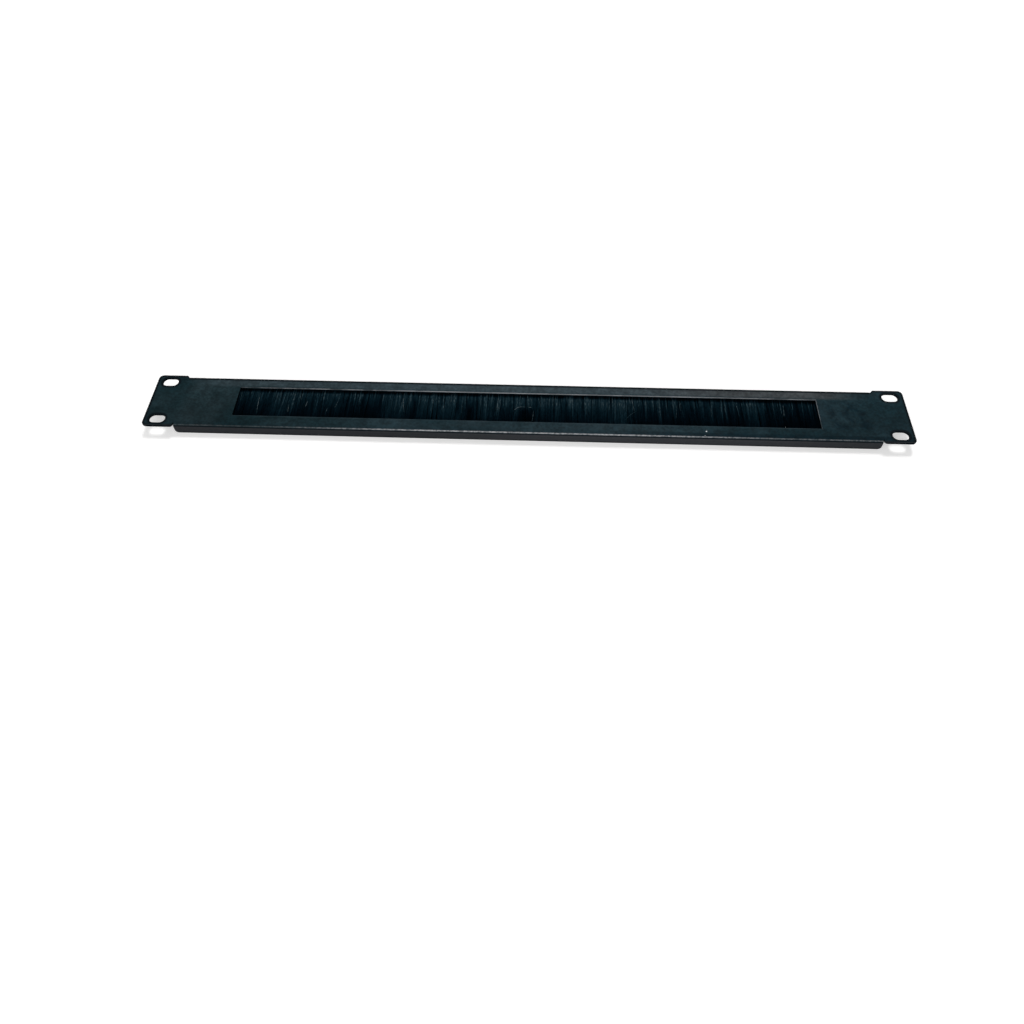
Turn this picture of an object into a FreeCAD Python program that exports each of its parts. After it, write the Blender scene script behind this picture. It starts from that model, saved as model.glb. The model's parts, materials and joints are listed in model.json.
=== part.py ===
import FreeCAD, Part
import math
import os
import random

# A cable entry panel for a 19 inch rack, one unit high, with a strip brush behind its window.
# Sizes are in millimetres. The panel lies face up on the edges of its two flanges:
# +X runs along its length, +Y points to its top edge and +Z comes out of its front face.
# The origin is below the panel's centre, on the plane of the flange edges.

# Folded front panel
panel_width = 482.6
panel_height = 43.7
sheet = 1.2
bend_radius = 0.8
flange_inset = 0.6
ear_length = 20.1
ear_corner_radius = 3.0
relief_width = 0.5
shoulder_depth = 1.0
shoulder_run = 1.2
shoulder_radius = 0.5
flange_corner_radius = 2.0
side_bar = 55.8
bottom_bar = 10.15

# Oblong slots for the rack screws, placed from the panel's ends and edges
slot_length = 10.2
slot_width = 6.8
slot_inset_x = 8.75
slot_inset_y = 5.975

# Crimped channel of the strip brush
channel_height = 4.0
channel_depth = 4.0
channel_wall = 0.6
channel_bend_radius = 0.5
lip_height = 1.2
lip_pinch = 0.3
channel_overhang = 10.0
window_setback = 1.85
core_wire_diameter = 1.0
fold_thickness = 0.5

# Bristles, gathered in tufts that taper towards their tips
band_height = 1.5
tuft_pitch = 3.4
tuft_flare = 0.1
tuft_flat_share = 0.6
tuft_side_share = 0.68
tuft_root_sink = 0.5
tuft_tip_scale = 0.9
tip_overlap = 3.5
tip_length_spread = 1.2
tip_side_spread = 0.12
tip_depth_spread = 0.2
tuft_seed = 11

# Bar that presses the channel against the back of the panel
retainer_sheet = 0.8
retainer_bend_radius = 0.4
leg_gap = 0.5
leg_top_gap = 0.6
channel_end_gap = 1.5
widened_end = 4.0
joggle_run = 3.0
foot_length = 14.0
foot_width = 11.0
foot_corner_radius = 2.0
rest_clearance = 1.0

# Studs, washers and nuts at the retainer's feet
stud_diameter = 3.0
stud_flange_diameter = 4.0
stud_flange_gap = 0.3
stud_hole_clearance = 0.25
stud_proud = 0.6
stud_chamfer = 0.3
washer_diameter = 7.0
washer_thickness = 0.5
washer_clearance = 0.1
nut_width = 5.5
nut_height = 2.4
nut_chamfer = 0.35
thread_clearance = 0.05

# Two places nearer to each other than this count as one
same_place = 1e-6

# Places that follow from the sizes above
half_width = panel_width / 2
half_height = panel_height / 2
panel_depth = sheet + channel_depth + retainer_sheet + rest_clearance
sheet_rear = panel_depth - sheet
flange_outer = half_height - flange_inset
flange_inner = flange_outer - sheet
bend_line = flange_inner - bend_radius
flange_half_length = half_width - ear_length
relief_x = flange_half_length + relief_width
shoulder_x = relief_x + shoulder_run
shoulder_y = half_height - shoulder_depth

channel_top = flange_inner - leg_gap - max(bend_radius, retainer_sheet)
channel_mouth = channel_top - channel_height
channel_rear = sheet_rear - channel_depth
window_top = channel_mouth - window_setback
window_bottom = bottom_bar - half_height
window_half_width = half_width - side_bar
channel_half_length = window_half_width + channel_overhang
core_wire_y = channel_top - channel_wall - fold_thickness - core_wire_diameter / 2
core_wire_z = sheet_rear - channel_depth / 2

retainer_rear = channel_rear - retainer_sheet
joggle_start = channel_half_length + channel_end_gap
foot_start = joggle_start + joggle_run
foot_end = foot_start + foot_length
foot_rear = sheet_rear - retainer_sheet
stud_x = foot_start + foot_length / 2
stud_y = channel_top - foot_width / 2
washer_rear = foot_rear - washer_thickness
nut_rear = washer_rear - nut_height
stud_flange_height = retainer_sheet - stud_flange_gap
stud_length = retainer_sheet + washer_thickness + nut_height + stud_proud


def across(x):
    """Place a section's two numbers along Y and Z, at one X."""
    return lambda u, v: FreeCAD.Vector(x, u, v)


def along(y):
    """Place a section's two numbers along X and Z, at one Y."""
    return lambda u, v: FreeCAD.Vector(u, y, v)


def level(z):
    """Place an outline's two numbers along X and Y, at one Z."""
    return lambda u, v: FreeCAD.Vector(u, v, z)


def direction(start, end):
    length = math.dist(start, end)
    return ((end[0] - start[0]) / length, (end[1] - start[1]) / length)


def turn_angle(before, after):
    """Angle between two directions, positive for a turn to the left."""
    cross = before[0] * after[1] - before[1] * after[0]
    dot = before[0] * after[0] + before[1] * after[1]
    return math.atan2(cross, dot)


def offset_points(points, distance):
    """Corners of a line that runs at a distance to the left of the given one."""
    headings = [direction(a, b) for a, b in zip(points, points[1:])]
    shifted = []
    for index, point in enumerate(points):
        before = headings[max(index - 1, 0)]
        after = headings[min(index, len(headings) - 1)]
        along_line = distance * math.tan(turn_angle(before, after) / 2)
        x = point[0] - distance * before[1] - along_line * before[0]
        y = point[1] + distance * before[0] - along_line * before[1]
        shifted.append((x, y))
    return shifted


def rounded_edges(points, radii, place):
    """Edges of a line through the points, with each inner corner rounded by its own radius."""
    edges = []
    start = points[0]
    for before, corner, after, radius in zip(points, points[1:], points[2:], radii):
        heading_in = direction(before, corner)
        heading_out = direction(corner, after)
        angle = turn_angle(heading_in, heading_out)
        tangent = radius * math.tan(abs(angle) / 2)
        arc_start = (corner[0] - tangent * heading_in[0], corner[1] - tangent * heading_in[1])
        arc_end = (corner[0] + tangent * heading_out[0], corner[1] + tangent * heading_out[1])
        edges.append(Part.LineSegment(place(*start), place(*arc_start)).toShape())
        if radius > 0:
            bisector = direction((0, 0), (heading_out[0] - heading_in[0], heading_out[1] - heading_in[1]))
            sagitta = radius / math.cos(angle / 2) - radius
            middle = (corner[0] + sagitta * bisector[0], corner[1] + sagitta * bisector[1])
            edges.append(Part.Arc(place(*arc_start), place(*middle), place(*arc_end)).toShape())
        start = arc_end
    edges.append(Part.LineSegment(place(*start), place(*points[-1])).toShape())
    return edges


def outline_face(points, radii, place):
    """Flat face inside a line that is closed from its last point to its first."""
    closing = Part.LineSegment(place(*points[-1]), place(*points[0])).toShape()
    return Part.Face(Part.Wire(rounded_edges(points, radii, place) + [closing]))


def folded_section(points, thickness, inner_radius, place):
    """Section of a folded sheet that lies to the left of the given line."""
    headings = [direction(a, b) for a, b in zip(points, points[1:])]
    turns = [turn_angle(a, b) for a, b in zip(headings, headings[1:])]
    outer_radius = inner_radius + thickness
    right_radii = [outer_radius if turn > 0 else inner_radius for turn in turns]
    left_radii = [inner_radius if turn > 0 else outer_radius for turn in turns]
    left_points = offset_points(points, thickness)
    right_edges = rounded_edges(points, right_radii, place)
    left_edges = rounded_edges(left_points, left_radii, place)
    first_end = Part.LineSegment(place(*points[0]), place(*left_points[0])).toShape()
    last_end = Part.LineSegment(place(*points[-1]), place(*left_points[-1])).toShape()
    return Part.Face(Part.Wire(Part.__sortEdges__(right_edges + left_edges + [first_end, last_end])))


def mirrored(shape):
    """The same piece at the panel's other end."""
    return shape.mirror(FreeCAD.Vector(0, 0, 0), FreeCAD.Vector(1, 0, 0))


def turned(profile, x, y, top):
    """Solid of revolution about a line along Z. The profile gives radius and depth below the top."""
    corners = [FreeCAD.Vector(x + radius, y, top - depth) for radius, depth in profile]
    face = Part.Face(Part.makePolygon(corners + corners[:1]))
    return face.revolve(FreeCAD.Vector(x, y, top), FreeCAD.Vector(0, 0, 1), 360)


def oblong_slot(x, y):
    """Cutter for one oblong slot through the sheet."""
    straight = slot_length - slot_width
    middle = Part.makeBox(straight, slot_width, sheet)
    middle.translate(FreeCAD.Vector(x - straight / 2, y - slot_width / 2, sheet_rear))
    ends = []
    for side in (-1, 1):
        centre = FreeCAD.Vector(x + side * straight / 2, y, sheet_rear)
        ends.append(Part.makeCylinder(slot_width / 2, sheet, centre))
    return middle.fuse(ends)


def make_ear():
    """Flat ear at the +X end. Narrow reliefs with sloped shoulders part it from the ends of the bends."""
    corners = [
        (flange_half_length, -bend_line),
        (relief_x, -bend_line),
        (relief_x, -shoulder_y),
        (shoulder_x, -half_height),
        (half_width, -half_height),
        (half_width, half_height),
        (shoulder_x, half_height),
        (relief_x, shoulder_y),
        (relief_x, bend_line),
        (flange_half_length, bend_line),
    ]
    shoulder = [0, shoulder_radius, shoulder_radius]
    radii = shoulder + [ear_corner_radius, ear_corner_radius] + shoulder[::-1]
    return outline_face(corners, radii, level(sheet_rear)).extrude(FreeCAD.Vector(0, 0, sheet))


def make_front_panel():
    """Face, ears and both flanges, folded from one sheet."""
    fold_line = [
        (flange_outer, 0),
        (flange_outer, panel_depth),
        (-flange_outer, panel_depth),
        (-flange_outer, 0),
    ]
    section = folded_section(fold_line, sheet, bend_radius, across(-flange_half_length))
    folded = section.extrude(FreeCAD.Vector(2 * flange_half_length, 0, 0))
    ear = make_ear()
    panel = folded.fuse([ear, mirrored(ear)]).removeSplitter()

    window = Part.makeBox(2 * window_half_width, window_top - window_bottom, sheet)
    window.translate(FreeCAD.Vector(-window_half_width, window_bottom, sheet_rear))
    cutters = [window]
    for x in (slot_inset_x - half_width, half_width - slot_inset_x):
        for y in (slot_inset_y - half_height, half_height - slot_inset_y):
            cutters.append(oblong_slot(x, y))
    panel = panel.cut(cutters)

    flange_corners = []
    for edge in panel.Edges:
        middle = edge.CenterOfMass
        at_flange_end = math.isclose(abs(middle.x), flange_half_length, abs_tol=same_place)
        if at_flange_end and math.isclose(middle.z, 0, abs_tol=same_place):
            flange_corners.append(edge)
    return panel.makeFillet(flange_corner_radius, flange_corners)


def channel_line():
    """Line round the outside of the brush channel, from lip to lip."""
    return [
        (channel_mouth, channel_rear + lip_pinch),
        (channel_mouth + lip_height, channel_rear),
        (channel_top, channel_rear),
        (channel_top, sheet_rear),
        (channel_mouth + lip_height, sheet_rear),
        (channel_mouth, sheet_rear - lip_pinch),
    ]


def make_brush_channel():
    """Channel that grips the bristles, with its two lips crimped towards each other."""
    section = folded_section(channel_line(), channel_wall, channel_bend_radius, across(-channel_half_length))
    return section.extrude(FreeCAD.Vector(2 * channel_half_length, 0, 0))


def make_core_wire():
    """Wire that the bristles are folded over."""
    start = FreeCAD.Vector(-channel_half_length, core_wire_y, core_wire_z)
    return Part.makeCylinder(core_wire_diameter / 2, 2 * channel_half_length, start, FreeCAD.Vector(1, 0, 0))


def make_bristle_root():
    """Folded roots that fill the channel round the core wire and show as a band at its mouth."""
    inside = offset_points(channel_line(), channel_wall)
    band_end = channel_mouth - band_height
    corners = [(band_end, inside[0][1])] + inside + [(band_end, inside[-1][1])]
    radii = [0] + [channel_bend_radius] * (len(inside) - 2) + [0]
    face = outline_face(corners, radii, across(-channel_half_length))
    filled = face.extrude(FreeCAD.Vector(2 * channel_half_length, 0, 0))
    return filled.cut(make_core_wire())


def tuft_section(centre_x, y, centre_z, width, thickness):
    """Eight-sided section of a tuft: flat on its front and back, and thinner at both sides."""
    edge_u = width / 2
    edge_v = thickness / 2 * tuft_side_share
    flat_u = width / 2 * tuft_flat_share
    flat_v = thickness / 2
    upper = [(edge_u, edge_v), (flat_u, flat_v), (-flat_u, flat_v), (-edge_u, edge_v)]
    lower = [(-u, -v) for u, v in upper]
    return [FreeCAD.Vector(centre_x + u, y, centre_z + v) for u, v in upper + lower]


def make_tuft(centre_x, pitch, thickness, chance):
    """One tuft, with a tip that leans and ends a little differently from its neighbours'."""
    root_y = channel_mouth - band_height + tuft_root_sink
    root = tuft_section(centre_x, root_y, core_wire_z, pitch, thickness)
    tip_x = centre_x + chance.uniform(-tip_side_spread, tip_side_spread)
    tip_y = window_bottom - tip_overlap + chance.uniform(-tip_length_spread, tip_length_spread)
    tip_z = core_wire_z + chance.uniform(-tip_depth_spread, tip_depth_spread)
    tip = tuft_section(tip_x, tip_y, tip_z, pitch * tuft_tip_scale, thickness * tuft_tip_scale)

    faces = [Part.Face(Part.makePolygon(root + root[:1])), Part.Face(Part.makePolygon(tip + tip[:1]))]
    for index in range(len(root)):
        following = (index + 1) % len(root)
        side = [root[index], root[following], tip[following], tip[index], root[index]]
        faces.append(Part.Face(Part.makePolygon(side)))
    return Part.makeSolid(Part.makeShell(faces))


def make_bristles():
    """The brush's fill: folded roots in the channel and a fringe of tufts below it."""
    chance = random.Random(tuft_seed)
    fringe_length = 2 * channel_half_length
    tuft_count = round(fringe_length / tuft_pitch)
    pitch = fringe_length / tuft_count
    inside = offset_points(channel_line(), channel_wall)
    thickness = inside[-1][1] - inside[0][1] + 2 * tuft_flare
    tufts = []
    for number in range(tuft_count):
        centre_x = -channel_half_length + (number + 0.5) * pitch
        tufts.append(make_tuft(centre_x, pitch, thickness, chance))
    return make_bristle_root().fuse(tufts)


def make_retainer_end():
    """Widened end of the retainer at +X: it steps forward to a foot on the back of the panel."""
    step_line = [
        (joggle_start - widened_end, retainer_rear),
        (joggle_start, retainer_rear),
        (foot_start, foot_rear),
        (foot_end, foot_rear),
    ]
    foot_bottom = channel_top - foot_width
    section = folded_section(step_line, retainer_sheet, retainer_bend_radius, along(foot_bottom))
    end = section.extrude(FreeCAD.Vector(0, foot_width, 0))
    foot_corners = []
    for edge in end.Edges:
        at_end = all(math.isclose(vertex.X, foot_end, abs_tol=same_place) for vertex in edge.Vertexes)
        upright = math.isclose(edge.BoundBox.ZLength, retainer_sheet, abs_tol=same_place)
        if at_end and upright:
            foot_corners.append(edge)
    end = end.makeFillet(foot_corner_radius, foot_corners)
    hole_radius = stud_flange_diameter / 2 + stud_hole_clearance
    hole = Part.makeCylinder(hole_radius, retainer_sheet, FreeCAD.Vector(stud_x, stud_y, foot_rear))
    return end.cut(hole)


def make_brush_retainer():
    """Angle bar behind the channel, with a stepped foot at each end."""
    leg_end = sheet_rear - bend_radius - leg_top_gap
    angle_line = [
        (channel_mouth, retainer_rear),
        (channel_top + retainer_sheet, retainer_rear),
        (channel_top + retainer_sheet, leg_end),
    ]
    bar_half_length = joggle_start - widened_end
    section = folded_section(angle_line, retainer_sheet, retainer_bend_radius, across(-bar_half_length))
    bar = section.extrude(FreeCAD.Vector(2 * bar_half_length, 0, 0))
    end = make_retainer_end()
    return bar.fuse([end, mirrored(end)]).removeSplitter()


def at_both_feet(piece):
    """The piece at the +X foot and its twin at the other one, as a group of two solids."""
    return Part.makeCompound([piece, mirrored(piece)])


def make_weld_studs():
    """Studs welded to the back of the panel by their small flanges."""
    radius = stud_diameter / 2
    profile = [
        (0, 0),
        (stud_flange_diameter / 2, 0),
        (stud_flange_diameter / 2, stud_flange_height),
        (radius, stud_flange_height),
        (radius, stud_length - stud_chamfer),
        (radius - stud_chamfer, stud_length),
        (0, stud_length),
    ]
    return at_both_feet(turned(profile, stud_x, stud_y, sheet_rear))


def make_washers():
    """Plain washers under the nuts."""
    hole_radius = stud_diameter / 2 + washer_clearance
    profile = [
        (hole_radius, 0),
        (washer_diameter / 2, 0),
        (washer_diameter / 2, washer_thickness),
        (hole_radius, washer_thickness),
    ]
    return at_both_feet(turned(profile, stud_x, stud_y, foot_rear))


def make_nuts():
    """Hexagon nuts with chamfered corners."""
    corner_radius = nut_width / math.sqrt(3)
    corners = []
    for number in range(6):
        angle = math.radians(60 * number)
        offset = FreeCAD.Vector(corner_radius * math.cos(angle), corner_radius * math.sin(angle), 0)
        corners.append(FreeCAD.Vector(stud_x, stud_y, nut_rear) + offset)
    hexagon = Part.Face(Part.makePolygon(corners + corners[:1])).extrude(FreeCAD.Vector(0, 0, nut_height))
    bore_radius = stud_diameter / 2 + thread_clearance
    profile = [
        (bore_radius, 0),
        (nut_width / 2, 0),
        (corner_radius, nut_chamfer),
        (corner_radius, nut_height - nut_chamfer),
        (nut_width / 2, nut_height),
        (bore_radius, nut_height),
    ]
    return at_both_feet(hexagon.common(turned(profile, stud_x, stud_y, washer_rear)))


os.makedirs("parts", exist_ok=True)
pieces = {
    "front_panel": make_front_panel(),
    "brush_channel": make_brush_channel(),
    "brush_core_wire": make_core_wire(),
    "bristles": make_bristles(),
    "brush_retainer": make_brush_retainer(),
    "weld_studs": make_weld_studs(),
    "washers": make_washers(),
    "nuts": make_nuts(),
}
for name, shape in pieces.items():
    shape.exportStep(f"parts/{name}.step")
    print(name, "solids", len(shape.Solids), "volume", round(shape.Volume, 2), "valid", shape.isValid())
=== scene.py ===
import json
import math

import bpy
import numpy as np
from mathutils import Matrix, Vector


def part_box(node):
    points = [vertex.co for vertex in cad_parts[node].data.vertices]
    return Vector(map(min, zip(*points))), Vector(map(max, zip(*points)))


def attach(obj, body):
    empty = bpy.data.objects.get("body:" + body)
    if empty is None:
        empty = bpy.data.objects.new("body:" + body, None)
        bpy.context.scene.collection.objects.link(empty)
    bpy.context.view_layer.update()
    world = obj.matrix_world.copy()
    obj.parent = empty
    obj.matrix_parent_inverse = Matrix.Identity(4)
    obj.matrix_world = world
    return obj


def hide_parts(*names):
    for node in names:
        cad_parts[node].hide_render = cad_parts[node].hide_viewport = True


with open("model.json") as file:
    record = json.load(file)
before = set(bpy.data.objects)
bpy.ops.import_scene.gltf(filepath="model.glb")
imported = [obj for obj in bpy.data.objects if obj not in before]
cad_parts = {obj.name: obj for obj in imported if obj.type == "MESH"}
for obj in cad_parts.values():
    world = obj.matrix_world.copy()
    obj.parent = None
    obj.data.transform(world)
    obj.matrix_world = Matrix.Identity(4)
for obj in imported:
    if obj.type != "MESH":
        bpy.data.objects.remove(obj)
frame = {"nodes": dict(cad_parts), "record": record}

# The looks of a black cable entry panel for a 19 inch rack, with a strip brush behind its window.
# Everything is in metres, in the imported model's frame: the panel lies face up, +X runs along it,
# +Y points to its top edge and +Z comes out of its front face.

MM = 0.001

# Camera: where it stands, how it is turned, its lens on a square picture, and how near it still sees
CAMERA_PLACE = (10.92 * MM, -357.87 * MM, 397.55 * MM)
CAMERA_TURN = (0.61684, 0.01098, 0.04064)
CAMERA_LENS_MM = 29.055
CAMERA_SENSOR_MM = 36.0
CAMERA_NEAREST = 0.01

# Light: a soft lamp high behind the panel, a weak lamp in front, and a pale room with a dim ceiling
LAMP_ELEVATION = math.radians(54)
LAMP_SIDE = 0.12
LAMP_STRENGTH = 1.95
LAMP_WIDTH = math.radians(16)
FILL_PLACE = (-0.7, -1.1, 0.8)
FILL_SIZE = 0.8
FILL_POWER = 5.0
ROOM_WHITE_BELOW = 0.5
ROOM_DIM_ABOVE = 0.72
ROOM_WALLS = 1.0
ROOM_CEILING = 0.08

# Floor: its glow and colour where it is seen directly, and its colour for the light that it gives back
FLOOR_HALF_SIZE = 6.0
FLOOR_GLOW = 0.47
FLOOR_SEEN_COLOUR = (0.67, 0.665, 0.66, 1)
FLOOR_BOUNCE_COLOUR = (0.8, 0.8, 0.8, 1)

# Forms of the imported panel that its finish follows. The window is larger than the opening in the
# record by OPENING_ROOM, along X and along Y, on each side.
SHEET_THICKNESS = 1.2 * MM
EAR_CORNER = 3.0 * MM
EAR_START_X = 221.2 * MM
FLANGE_FACE_Y = 21.25 * MM
BEND_LINE_Y = 19.25 * MM
OPENING_ROOM = (1.0 * MM, 0.5 * MM)

# Powder coat: deep and pale black, dust and painted sheen, grey painted sheen, painted sheen of the
# flanges, smudges and painted shade, painted shade, and painted highlights on cut edges and the near
# bend
COAT_DEEP = (0.0042, 0.0155, 0.0205, 1)
COAT_PALE = (0.0095, 0.0235, 0.0305, 1)
COAT_DUST_AND_SHEEN = (0.034, 0.05, 0.059, 1)
COAT_GREY_SHEEN = (0.046, 0.052, 0.056, 1)
COAT_FLANGE_SHEEN = (0.035, 0.037, 0.041)
COAT_SMUDGE_AND_SHADE = (0.0008, 0.0085, 0.0135, 1)
COAT_SHADE = (0.0006, 0.0025, 0.0045, 1)
COAT_CUT_HIGHLIGHT = (0.4, 0.42, 0.45, 1)
COAT_BEND_HIGHLIGHT = (0.42, 0.43, 0.45, 1)
LEFT_TINT = (0.97, 0.88, 0.83)
COAT_SPECULAR = 0.02

# Single specks of dust: the place on the face along X and Y and the radius, all in millimetres,
# and the share of the radius that is fully white
DUST_COLOUR = (0.85, 0.9, 0.92, 1)
DUST_SPECKS = [((113.47, -16.1), 0.48), ((112.3, -19.6), 0.2)]
SPECK_CORE = 0.5

# Patterns of the coat, as settings of Shader.noise
CLOUDS = {"size": 34 * MM, "detail": 4, "distortion": 0.6}
SMEARS = {"size": 7 * MM, "detail": 4, "stretch": (2.4, 1, 1), "distortion": 0.8}
MARKS = {"size": 8 * MM, "detail": 4, "distortion": 0.8}
BLOTCHES = {"size": 7 * MM, "detail": 2}
SPECKLE = {"size": 1.6 * MM, "detail": 3}
GRAIN = {"size": 0.55 * MM, "detail": 3}
PEEL = {"size": 2.4 * MM, "detail": 2}
# The next two patterns break up the painted highlights along the near bend and on the cut edges
BEND_HIGHLIGHT_DOTS = {"size": 1.4 * MM, "detail": 3}
CUT_HIGHLIGHT_PATCHES = {"size": 9 * MM, "detail": 4}

# Spans of the coat: where a change starts and ends, and the levels there where they aren't 0 and 1.
# The end of a name says what it goes by: a pattern, a place or a direction of the surface.
PALE_BY_CLOUDS = (0.36, 0.66)
PALE_BY_SMEARS = (0.55, 0.75, 0, 0.5)
MIDDLE_DUST_BY_SMEARS = (0.3, 0.6, 0.1, 0.24)
LEFT_DUST_BY_CLOUDS = (0.3, 0.6, 0.05, 0.12)
LEFT_TINT_BY_X = (-60 * MM, -150 * MM)
# Painted sheen on the far bar: its level along X, its patches, and where it turns grey
FAR_SHEEN_BY_X = (-110 * MM, 20 * MM, 0.72, 1.0)
FAR_SHEEN_BY_SMEARS = (0.2, 0.7, 0.7, 1.0)
FAR_GREY_BY_X = (40 * MM, 150 * MM)
# Painted shade along the near bar's margin, stronger to the right
NEAR_SHADE_BY_X = (20 * MM, 120 * MM, 0.15, 0.72)
SMUDGE_BY_MARKS = (0.42, 0.64, 0, 0.95)
# Painted sheen: both ends lighter towards the top edge and darker towards the near edge
END_CHANGE_BY_Y = (-16 * MM, 16 * MM, -0.12, 0.14)
TONE_BY_BLOTCHES = (0.3, 0.7, 0.83, 1.17)
TONE_BY_SPECKLE = (0.3, 0.7, 0.78, 1.22)
UPRIGHT_BY_NORMAL_Z = (0.5, 0.3)
NEAR_SIDE_BY_NORMAL_Y = (-0.2, -0.4)
LEFT_EDGE_BY_NORMAL_X = (0.3, 0.6)
# Painted highlights on the window's cut edges, and along the near bar's rim at the window
CUT_HIGHLIGHT_BY_PATCHES = (0.37, 0.62, 0.2, 0.75)
CUT_HIGHLIGHT_BY_SMEARS = (0.35, 0.6, 0.6, 1.0)
CUT_HIGHLIGHT_BY_X = (-185 * MM, -140 * MM, 0.4, 1.0)
RIM_HIGHLIGHT_BY_SMEARS = (0.35, 0.65, 0.3, 0.7)
# Painted sheen on the flanges: its level along X, and its patches
FLANGE_LEFT_BY_X = (-100 * MM, 50 * MM, 0.8, 1.18)
FLANGE_RIGHT_BY_X = (130 * MM, 200 * MM, 1.0, 0.84)
FLANGE_SHEEN_BY_GRAIN = (0.3, 0.7, 0.75, 1.0)
FLANGE_FOOT_BY_Z = (0.9 * MM, 0.3 * MM)
FAR_ROUND_BY_Y = (BEND_LINE_Y - 1.0 * MM, BEND_LINE_Y - 0.4 * MM)
FAR_ROUND_BY_NORMAL_Z = (0.2, 0.5)
FAR_ROUND_BY_SIDE = (EAR_START_X, EAR_START_X - 1 * MM)
# Painted highlight along the near bend
BEND_HIGHLIGHT_LEFT_BY_X = (-170 * MM, -50 * MM, 0.1, 1.0)
BEND_HIGHLIGHT_RIGHT_BY_X = (180 * MM, 60 * MM, 0.3, 1.0)
BEND_HIGHLIGHT_BY_DOTS = (0.35, 0.6, 0.4, 1.0)
BEND_HIGHLIGHT_BY_GRAIN = (0.3, 0.62, 0.45, 1.0)
ROUGHNESS_BY_PEEL = (0.3, 0.7, 0.5, 0.62)

# Stretches of the panel and of its surface's directions: both ends, and the width of the soft borders
PALE_MIDDLE_X = (-60 * MM, 60 * MM, 70 * MM)
LEFT_END_X = (-214 * MM, -194 * MM, 10 * MM)
NEAR_MARGIN_Y = (-BEND_LINE_Y, 1.2 * MM - BEND_LINE_Y, 1.5 * MM)
SMUDGE_X = (196 * MM, 212 * MM, 8 * MM)
SMUDGE_Y = (-9 * MM, 9 * MM, 5 * MM)
BRIGHT_CUT_X = (-74 * MM, 114 * MM, 30 * MM)
BRIGHT_CUT_END_X = (171 * MM, 177 * MM, 8 * MM)
FLANGE_Y = (FLANGE_FACE_Y - 0.05 * MM, FLANGE_FACE_Y + 0.05 * MM, 0.2 * MM)
UNDER_BEND_NORMAL_Z = (0.4, 0.56, 0.1)
# Painted highlight along the near bend, by the surface's direction
BEND_HIGHLIGHT_NORMAL_Z = (0.72, 0.88, 0.07)

# Borders of the coat's looks, measured from the window's edges
WINDOW_BORDER = 1 * MM
FAR_BAR_START = -1 * MM
FAR_BAR_FULL = 2 * MM
FAR_BAR_END = 5 * MM
END_BORDER = 15 * MM
NEAR_RIM_BORDER = 0.2 * MM

# Depths below the face at which the painted highlight starts on the window's cut edges, and is full
CUT_HIGHLIGHT_START_DEPTH = 0.8 * SHEET_THICKNESS
CUT_HIGHLIGHT_FULL_DEPTH = 0.5 * SHEET_THICKNESS

# Dark rims of ears and slots: their width, and the share of it that is fully dark
RIM_WIDTH = 2.0 * MM
RIM_CORE = 0.5

# How strongly the shade covers each place
RIM_SHADE = 0.85
OUTER_EDGE_SHADE = 0.7
FLANGE_BORDER_SHADE = 0.75
FAR_ROUND_SHADE = 0.9

# Relief of the coat: the shares of grain and peel, and the depth and strength of both
GRAIN_HEIGHT = 0.6
PEEL_HEIGHT = 0.4
COAT_BUMP = (0.06 * MM, 0.5)

# Galvanised strip: colours, patterns with their shares in its tone, spans, and the depth and
# strength of its lines
STRIP_DARK = (0.36, 0.37, 0.38, 1)
STRIP_PALE = (0.58, 0.59, 0.6, 1)
STRIP_CRYSTAL_SIZE = 3.5 * MM
STRIP_CRYSTAL_SHARE = 0.5
STRIP_CLOUDS = {"size": 5 * MM, "detail": 3}
STRIP_CLOUD_SHARE = 0.6
STRIP_LINES = {"size": 0.3 * MM, "detail": 3, "stretch": (60, 1, 1)}
STRIP_PALE_BY_TONE = (0.25, 0.8)
STRIP_ROUGHNESS_BY_CLOUDS = (0.3, 0.7, 0.38, 0.55)
STRIP_BUMP = (0.02 * MM, 0.4)

# Zinc-plated sheet: colours, patterns, spans, and the depth and strength of its lines
ZINC_DARK = (0.5, 0.51, 0.53, 1)
ZINC_PALE = (0.66, 0.67, 0.68, 1)
ZINC_LINES = {"size": 0.22 * MM, "detail": 3, "stretch": (90, 1, 1)}
ZINC_BLOOM = {"size": 8 * MM, "detail": 4, "distortion": 0.5}
ZINC_PALE_BY_BLOOM = (0.35, 0.7)
ZINC_ROUGHNESS_BY_LINES = (0.25, 0.75, 0.3, 0.5)
ZINC_BUMP = (0.015 * MM, 0.5)

# Fasteners: colours, patterns, spans, and the depth and strength of their rings
FASTENER_DARK = (0.55, 0.56, 0.58, 1)
FASTENER_PALE = (0.74, 0.75, 0.76, 1)
FASTENER_RINGS = {"size": 0.12 * MM, "detail": 2, "stretch": (30, 30, 1)}
FASTENER_CLOUDS = {"size": 1.6 * MM, "detail": 3}
FASTENER_PALE_BY_CLOUDS = (0.3, 0.7)
FASTENER_ROUGHNESS_BY_CLOUDS = (0.3, 0.7, 0.24, 0.4)
FASTENER_BUMP = (0.01 * MM, 0.5)

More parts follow.
